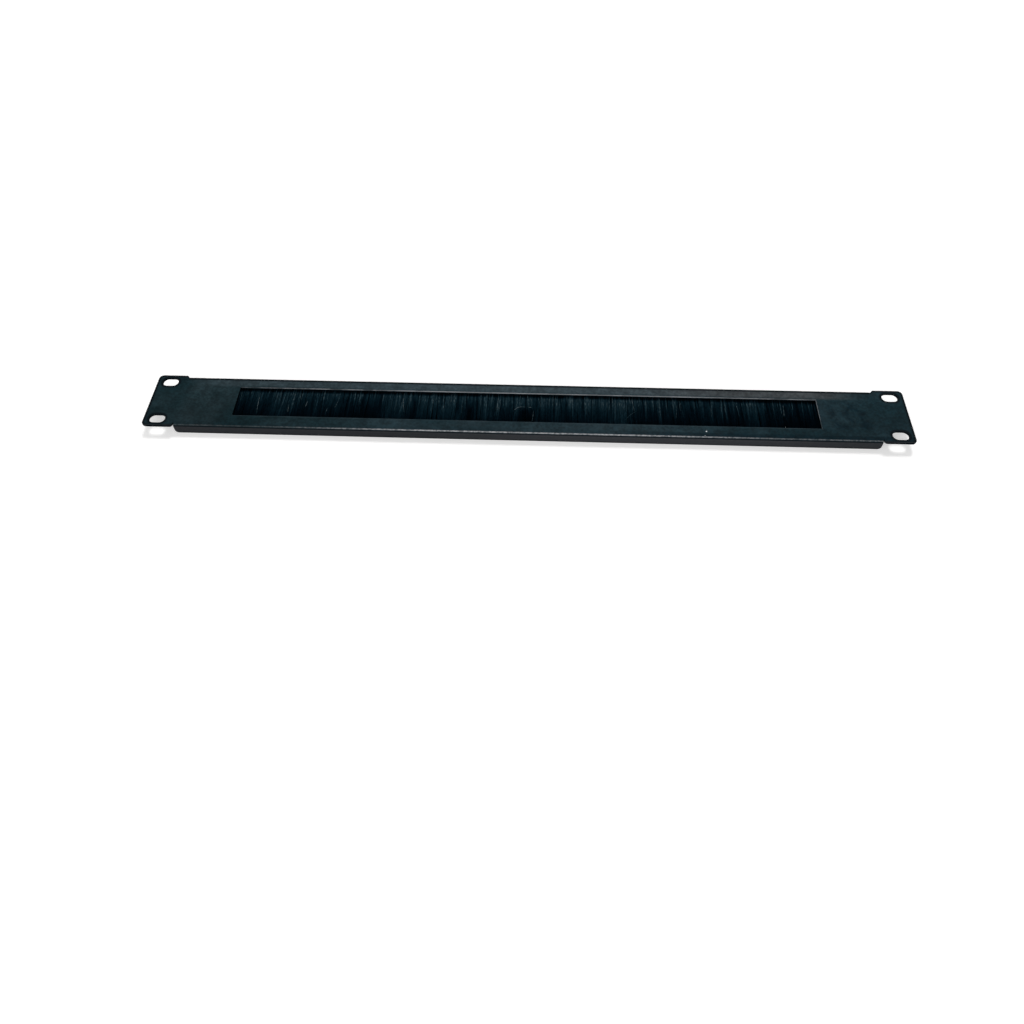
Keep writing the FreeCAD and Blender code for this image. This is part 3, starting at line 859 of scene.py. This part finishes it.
class Clumps:
    """How the bristles stick together: each clump has its own place, lean, lift and tone.

    Every other clump lies deeper, as a wider gap between two strokes, darker with painted shade.
    Light streaks of the other clumps are painted highlights.
    """

    def __init__(self, chance):
        length = bristle_high.x - bristle_low.x
        count = int(length / min(CLUMP_WIDTHS)) + 1
        widths = chance.uniform(*CLUMP_WIDTHS, count)
        widths[1::2] *= GAP_WIDER
        edges = bristle_low.x + np.cumsum(widths)
        self.edges = edges[edges < bristle_high.x]
        bounds = np.concatenate([[bristle_low.x], self.edges, [bristle_high.x]])
        self.middle = (bounds[1:] + bounds[:-1]) / 2
        number = len(self.middle)
        self.lean = chance.normal(0, CLUMP_LEAN, number)
        self.pull = chance.uniform(*CLUMP_PULL, number)
        self.lift = chance.uniform(*CLUMP_LIFT, number)
        self.lift[1::2] -= GAP_DEEPER
        self.light = chance.lognormal(*STREAK_LIGHT, number)
        self.light[1::2] *= GAP_DARKER
        self.rest = chance.uniform(*STREAK_REST, number)
        self.reach = STREAK_SHORTEST + STREAK_LONGER * chance.uniform(0, 1, number) ** STREAK_POWER
        self.root = chance.uniform(*ROOT_LIGHT, number)
        self.part = chance.uniform(*PARTING_START, number)
        self.patch_places = bristle_low.x + np.cumsum(chance.uniform(*PATCH_WIDTHS, number))
        self.patch_levels = np.clip(chance.lognormal(*PATCH_LIGHT, number), *PATCH_LIMITS)

    def of(self, x):
        """Number of the clump at each place."""
        return np.searchsorted(self.edges, x)

    def strokes(self, clump):
        """Strength of the tone at each step: the clump's painted highlight as far as it reaches, then
        its rest.
        """
        streak = ease(self.reach[clump][:, None] - FRONT_STEPS, TONE_FADE)
        rest = self.rest[clump][:, None]
        return rest + (self.light[clump][:, None] - rest) * streak

    def patches(self, x):
        """Lightness by patches at each step, stronger to the tip, with neighbours mixed."""
        feather = PATCH_FEATHER * (even_spread(len(x)) - 0.5)
        levels = np.exp(np.interp(x + feather, self.patch_places, np.log(self.patch_levels)))
        return levels[:, None] ** (PATCH_GROWTH * FRONT_STEPS)


def glow(root_x):
    """Light along the brush, for each step of a leg."""
    whole = np.interp(root_x, GLOW_PLACES, GLOW_LEVELS)[:, None]
    tips = np.interp(root_x, GLOW_PLACES, TIP_LEVELS)[:, None]
    return whole * tips ** FRONT_STEPS


def bristle_shade(root_x):
    """Share of its tone that each bristle keeps, at each step, under the painted shade of those places.
    """
    kept = np.ones((len(root_x), len(FRONT_STEPS)))
    for place, half_width, depth, start in SHADE_PLACES:
        along = ease(FRONT_STEPS - start, TONE_FADE)
        kept *= 1 - depth * closeness(root_x, place, half_width)[:, None] * along
    return kept


def parting(root_x):
    """How strongly the parted place pulls at a bristle, from 0 to 1, and to which side."""
    return closeness(root_x, PARTING_X, PARTING_HALF_WIDTH), np.sign(root_x - PARTING_X)


def front_tones(chance, clumps, root_x, layer):
    """Painted light along the legs: painted shadow at the root, highlights below it, shade to the tip.
    """
    clump = clumps.of(root_x)
    spread = OWN_SPREAD + OWN_SPREAD_STEP * layer
    own = chance.uniform(1 - spread, 1 + spread, (len(root_x), 1))
    tones = TONE_ALONG * clumps.strokes(clump) * clumps.patches(root_x)
    tones = tones * glow(root_x) * own * bristle_shade(root_x)
    tones[:, 1] *= clumps.root[clump]
    near, _ = parting(root_x)
    # Painted shade in the parted hollow
    hollow = ease(FRONT_STEPS - clumps.part[clump][:, None], TONE_FADE)
    return np.minimum(tones * (1 - PARTING_DARK * near[:, None] * hollow), TONE_LIMIT)


def leg_paths(chance, root_x, tip_x, mouth_z, tip_z, steps):
    """Free legs of the filaments, from the channel's mouth to their tips."""
    count = len(root_x)
    tip_y = bristle_low.y + chance.uniform(*TIP_ROOM, count)
    margin = FILAMENT_RADIUS
    tip_x = np.clip(tip_x, bristle_low.x + margin, bristle_high.x - margin)
    x = root_x[:, None] + (tip_x - root_x)[:, None] * steps ** LEAN_CURVE
    y = mouth_y + (tip_y - mouth_y)[:, None] * steps
    fluff = chance.normal(0, FLUFF, (count, len(steps))) * np.sin(math.pi * steps)
    z = mouth_z + (tip_z - mouth_z)[:, None] * steps + fluff
    z = np.clip(z, bristle_low.z + margin, bristle_high.z - margin - STRAY_RADIUS)
    return np.stack([x, y, z], axis=2)


def fan_out(legs):
    """Spread legs that hang beside the window until they fill the room up to the panel's back."""
    beside = np.abs(legs[:, :, 0]).min(axis=1) > window_high[0] + FILAMENT_RADIUS
    back_z = panel_high.z - SHEET_THICKNESS - FILAMENT_RADIUS
    rise = even_spread(len(legs)) * beside
    share = rise[:, None] * ease(FRONT_STEPS, FAN_END)
    legs[:, :, 2] += (back_z - legs[:, :, 2]) * share
    return legs


def front_legs(chance, clumps, root_x, layer):
    """Legs on the panel's side, gathered in clumps."""
    count = len(root_x)
    clump = clumps.of(root_x)
    hold = CLUMP_HOLD + CLUMP_HOLD_STEP * layer
    gather = clumps.pull[clump] * (clumps.middle[clump] - root_x) + clumps.lean[clump]
    near, way = parting(root_x)
    push = way * near * PARTING_PUSH if layer >= PARTING_LAYER else 0
    scatter = FRONT_SCATTER + FRONT_SCATTER_STEP * layer
    tip_x = root_x + hold * gather + chance.normal(0, scatter, count) + push
    mouth_z = wire_centre.z + LEG_START + LEG_STEP * layer
    lifted_z = mouth_z + FRONT_RISE * layer + hold * clumps.lift[clump]
    tip_z = lifted_z + chance.normal(0, TIP_SCATTER, count)
    legs = leg_paths(chance, root_x, tip_x, mouth_z, tip_z, FRONT_STEPS)
    return fan_out(legs) if layer >= FAN_LAYER else legs


def rear_legs(chance, root_x, layer):
    """Legs on the far side, which hang close together and let no light through."""
    count = len(root_x)
    tip_x = root_x + chance.normal(0, REAR_SCATTER, count)
    mouth_z = wire_centre.z - LEG_START - LEG_STEP * layer
    tip_z = mouth_z + chance.normal(0, TIP_SCATTER, count)
    return leg_paths(chance, root_x, tip_x, mouth_z, tip_z, REAR_STEPS)


def fold(root_x, layer):
    """Bends of the filaments over the core wire, inside the channel."""
    beside = wire_radius + FILAMENT_RADIUS + FOLD_SIDE_STEP * layer
    above = wire_radius + FILAMENT_RADIUS + FOLD_TOP_STEP * layer
    y = wire_centre.y + above * np.sin(FOLD_ANGLES)
    z = wire_centre.z + beside * np.cos(FOLD_ANGLES)
    return np.stack(np.broadcast_arrays(root_x[:, None], y, z), axis=2)


def fringe_strands():
    """All filaments: each runs from one tip up, over the core wire and down to its other tip."""
    chance = np.random.default_rng(FRINGE_SEED)
    clumps = Clumps(chance)
    paths = []
    tones = []
    length = bristle_high.x - bristle_low.x
    count = int(length / FILAMENT_PITCH)
    pitch = length / count
    for layer in range(FOLD_LAYERS):
        stagger = EVEN_STEP * (layer + 1) % 1
        jitter = chance.uniform(-FILAMENT_JITTER, FILAMENT_JITTER, count)
        spots = np.arange(count) + stagger + jitter
        root_x = bristle_low.x + np.clip(spots * pitch, FILAMENT_RADIUS, length - FILAMENT_RADIUS)
        front = front_legs(chance, clumps, root_x, layer)
        front_tone = front_tones(chance, clumps, root_x, layer)
        bend = fold(root_x, layer)
        rear = rear_legs(chance, root_x, layer)
        paths.append(np.concatenate([front[:, ::-1], bend, rear], axis=1))
        hidden = np.zeros((count, bend.shape[1] + rear.shape[1]))
        tones.append(np.concatenate([front_tone[:, ::-1], hidden], axis=1))
    return np.concatenate(paths), np.concatenate(tones)


def add_fringe(material):
    """The brush's filaments, in pieces side by side along the panel."""
    paths, tones = fringe_strands()
    taper = np.full(paths.shape[1], FILAMENT_RADIUS)
    taper[:len(FRONT_STEPS)] *= 1 - (1 - FILAMENT_TIP_SHARE) * FRONT_STEPS[::-1]
    radii = np.tile(taper, (len(paths), 1))
    middle_x = paths[:, len(FRONT_STEPS) + len(FOLD_ANGLES) // 2, 0]
    bounds = np.linspace(bristle_low.x, bristle_high.x, FRINGE_PIECES + 1)
    for number in range(FRINGE_PIECES):
        chosen = (middle_x >= bounds[number]) & (middle_x < bounds[number + 1])
        name = f"bristle_fringe_{number + 1}"
        mesh = tube_mesh(name, paths[chosen], radii[chosen], tones[chosen])
        add_piece(name, mesh, material, "bristles")


def smooth_route(points):
    """Points along a soft curve that follows the given ones."""
    given = np.array(points) * MM
    knots = np.linspace(0, 1, len(given))
    steps = np.linspace(0, 1, STRAY_POINTS)
    line = np.stack([np.interp(steps, knots, part) for part in given.T], axis=1)
    for _ in range(STRAY_SMOOTHINGS):
        line[1:-1] = (line[:-2] + 2 * line[1:-1] + line[2:]) / 4
    return line


def add_strays(material):
    """Single bristles on top of the fringe, lighter with a painted highlight that dims towards their
    ends.
    """
    lines = np.array([smooth_route(points) for _, points in STRAYS])
    lightness = np.array([light for light, _ in STRAYS])[:, None]
    arch = np.sin(np.linspace(0, math.pi, STRAY_POINTS))
    top = bristle_high.z - STRAY_RADIUS
    z = np.tile(top - STRAY_DIP * (1 - arch), (len(lines), 1))
    paths = np.concatenate([lines, z[:, :, None]], axis=2)
    radii = np.full(paths.shape[:2], STRAY_RADIUS)
    tones = lightness * (STRAY_END_TONE + (1 - STRAY_END_TONE) * arch)
    mesh = tube_mesh("stray_bristles", paths, radii, tones)
    add_piece("stray_bristles", mesh, material, "bristles")


def dress_nodes():
    """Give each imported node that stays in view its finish."""
    strip = galvanised()
    hardware = zinc_hardware()
    finishes = {
        "front_panel": powder_coat(),
        "brush_channel": strip,
        "brush_core_wire": strip,
        "brush_retainer": zinc_sheet(),
        "weld_studs": hardware,
        "washers": hardware,
        "nuts": hardware,
    }
    for name, material in finishes.items():
        frame["nodes"][name].material_slots[0].material = material


def direct_rays(nodes, links):
    """1 for camera, glossy and transmission rays."""
    path = nodes.new("ShaderNodeLightPath")
    total = path.outputs["Is Camera Ray"]
    for name in ("Is Glossy Ray", "Is Transmission Ray"):
        larger = nodes.new("ShaderNodeMath")
        larger.operation = "MAXIMUM"
        links.new(total, larger.inputs[0])
        links.new(path.outputs[name], larger.inputs[1])
        total = larger.outputs[0]
    return total


def floor_material():
    """White floor: it glows where it is seen directly or mirrored, and still takes a shadow."""
    material = bpy.data.materials.new("pale_floor")
    material.use_nodes = True
    nodes = material.node_tree.nodes
    links = material.node_tree.links
    nodes.remove(nodes["Principled BSDF"])
    seen = nodes.new("ShaderNodeBsdfDiffuse")
    seen.inputs["Color"].default_value = FLOOR_SEEN_COLOUR
    shine = nodes.new("ShaderNodeEmission")
    shine.inputs["Strength"].default_value = FLOOR_GLOW
    both = nodes.new("ShaderNodeAddShader")
    links.new(seen.outputs[0], both.inputs[0])
    links.new(shine.outputs[0], both.inputs[1])
    bounce = nodes.new("ShaderNodeBsdfDiffuse")
    bounce.inputs["Color"].default_value = FLOOR_BOUNCE_COLOUR
    choice = nodes.new("ShaderNodeMixShader")
    links.new(direct_rays(nodes, links), choice.inputs[0])
    links.new(bounce.outputs[0], choice.inputs[1])
    links.new(both.outputs[0], choice.inputs[2])
    links.new(choice.outputs[0], nodes["Material Output"].inputs["Surface"])
    material.cycles.emission_sampling = "NONE"
    return material


def add_floor():
    """A plain square floor under the panel."""
    half = FLOOR_HALF_SIZE
    mesh = bpy.data.meshes.new("floor")
    corners = [(-half, -half, 0), (half, -half, 0), (half, half, 0), (-half, half, 0)]
    mesh.from_pydata(corners, [], [(0, 1, 2, 3)])
    mesh.materials.append(floor_material())
    floor = bpy.data.objects.new("floor", mesh)
    bpy.context.scene.collection.objects.link(floor)


def add_room():
    """The world: white round the horizon and dim overhead."""
    world = bpy.data.worlds.new("pale_room")
    bpy.context.scene.world = world
    world.use_nodes = True
    nodes = world.node_tree.nodes
    links = world.node_tree.links
    place = nodes.new("ShaderNodeTexCoord")
    parts = nodes.new("ShaderNodeSeparateXYZ")
    links.new(place.outputs["Generated"], parts.inputs[0])
    level = nodes.new("ShaderNodeMapRange")
    level.interpolation_type = "SMOOTHSTEP"
    level.inputs["From Min"].default_value = ROOM_WHITE_BELOW
    level.inputs["From Max"].default_value = ROOM_DIM_ABOVE
    level.inputs["To Min"].default_value = ROOM_WALLS
    level.inputs["To Max"].default_value = ROOM_CEILING
    links.new(parts.outputs["Z"], level.inputs["Value"])
    links.new(level.outputs["Result"], nodes["Background"].inputs["Color"])


def add_lamp(name, light, direction):
    """Put a lamp in the scene that shines along a direction."""
    lamp = bpy.data.objects.new(name, light)
    lamp.rotation_mode = "QUATERNION"
    lamp.rotation_quaternion = direction.to_track_quat("-Z", "Y")
    bpy.context.scene.collection.objects.link(lamp)
    return lamp


def add_lights():
    """The soft lamp behind the panel, and the weak one in front of it."""
    back = bpy.data.lights.new("back_lamp", "SUN")
    back.energy = LAMP_STRENGTH
    back.angle = LAMP_WIDTH
    towards_back = Vector((LAMP_SIDE, math.cos(LAMP_ELEVATION), math.sin(LAMP_ELEVATION)))
    add_lamp("back_lamp", back, -towards_back)
    front = bpy.data.lights.new("front_fill", "AREA")
    front.energy = FILL_POWER
    front.size = FILL_SIZE
    fill = add_lamp("front_fill", front, -Vector(FILL_PLACE))
    fill.location = FILL_PLACE


def add_camera():
    """The camera at the photograph's viewing angle."""
    lens = bpy.data.cameras.new("camera")
    lens.lens = CAMERA_LENS_MM
    lens.sensor_width = CAMERA_SENSOR_MM
    lens.clip_start = CAMERA_NEAREST
    camera = bpy.data.objects.new("camera", lens)
    camera.location = CAMERA_PLACE
    camera.rotation_euler = CAMERA_TURN
    bpy.context.scene.collection.objects.link(camera)
    bpy.context.scene.camera = camera


bpy.context.scene.view_settings.view_transform = "Standard"
dress_nodes()
bristle_finish = bristle_nylon()
add_fringe(bristle_finish)
add_strays(bristle_finish)
add_floor()
add_room()
add_lights()
add_camera()
